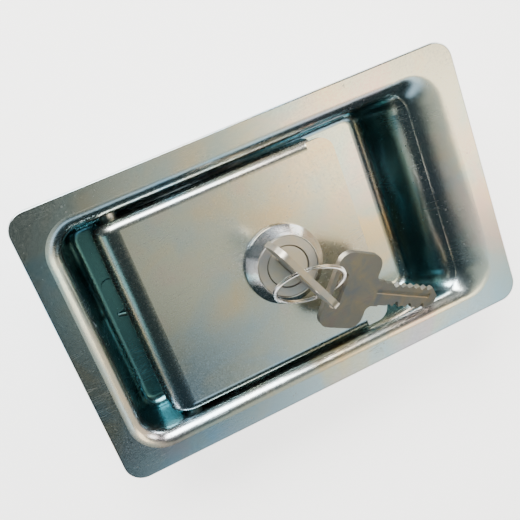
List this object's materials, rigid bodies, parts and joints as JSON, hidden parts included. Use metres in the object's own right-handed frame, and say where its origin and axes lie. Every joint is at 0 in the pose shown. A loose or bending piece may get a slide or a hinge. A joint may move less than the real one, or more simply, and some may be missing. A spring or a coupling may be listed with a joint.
{
  "type": "paddle latch",
  "caption": "Flush paddle latch: stamped dish with a wide flange, lift paddle with a keyed cylinder lock, rod lever behind, keys on a split ring.",
  "frame": {"origin": "centre of the back face of the flange, which is the face that meets the panel", "axes": "+Z out of the face towards the user, +X along the length towards the finger well, +Y across"},
  "size_m": [0.14, 0.088, 0.0535],
  "materials": {
    "zinc_plated_steel": "bright zinc plate with faint iridescent patches",
    "spring_steel": "drawn spring wire",
    "nylon": "plain moulded",
    "zinc_alloy": "die cast, dull",
    "chrome_plate": "bright chrome",
    "brass": "stamped",
    "nickel_plated_brass": "nickel plated, lightly brushed",
    "nickel_plated_steel": "bright nickel"
  },
  "bodies": {
    "frame": {"pan": "zinc_plated_steel", "mounting_studs": "zinc_plated_steel", "hinge_pin": "zinc_plated_steel", "hinge_clip": "spring_steel", "lever_pivot_rivet": "zinc_plated_steel", "lever_washer": "nylon", "spring_anchor": "zinc_plated_steel", "lever_return_spring": "spring_steel", "torsion_spring": "spring_steel"},
    "paddle": {"paddle": "zinc_plated_steel", "tail_bracket": "zinc_plated_steel", "lock_body": "zinc_alloy", "lock_bezel": "chrome_plate", "lock_washer": "spring_steel", "lock_nut": "zinc_alloy"},
    "lock": {"lock_plug": "zinc_alloy", "lock_cam": "zinc_plated_steel", "cam_screw": "zinc_plated_steel", "cam_washer": "zinc_plated_steel", "wafer_tumblers": "brass", "key": "nickel_plated_brass"},
    "rod_lever": {"rod_lever": "zinc_plated_steel"},
    "key_ring": {"key_ring": "nickel_plated_steel"},
    "spare_key": {"spare_key": "nickel_plated_brass"}
  },
  "joints": [
    {"name": "paddle_hinge", "type": "hinge", "parent": "frame", "child": "paddle", "pos_m": [-0.044, 0, -0.008], "axis": [0, -1, 0], "range_deg": [0, 25], "stiffness_Nm_per_rad": 0.25, "springref_deg": -20.05, "deforming": ["torsion_spring"]},
    {"name": "rod_lever_turn", "type": "hinge", "parent": "frame", "child": "rod_lever", "pos_m": [-0.032, 0, -0.0218], "axis": [0, 0, -1], "range_deg": [0, 32.5], "stiffness_Nm_per_rad": 0.02, "springref_deg": -17.19, "deforming": ["lever_return_spring"]},
    {"name": "lock_turn", "type": "hinge", "parent": "paddle", "child": "lock", "pos_m": [-0.002, 0, 0], "axis": [0, 0, 1], "range_deg": [0, 90]},
    {"name": "key_ring_slide", "type": "hinge", "parent": "lock", "child": "key_ring", "pos_m": [-0.0002, -0.00473, 0.01523], "axis": [0.191, 0.7239, -0.6629], "continuous": true},
    {"name": "spare_key_swing", "type": "hinge", "parent": "lock", "child": "spare_key", "pos_m": [0.00847, -0.00968, 0.01232], "axis": [-0.562, -0.673, -0.481], "range_deg": [0, 10]}
  ],
  "couplings": [
    {"joint": "rod_lever_turn", "follows": "paddle_hinge", "ratio": 1.3}
  ]
}
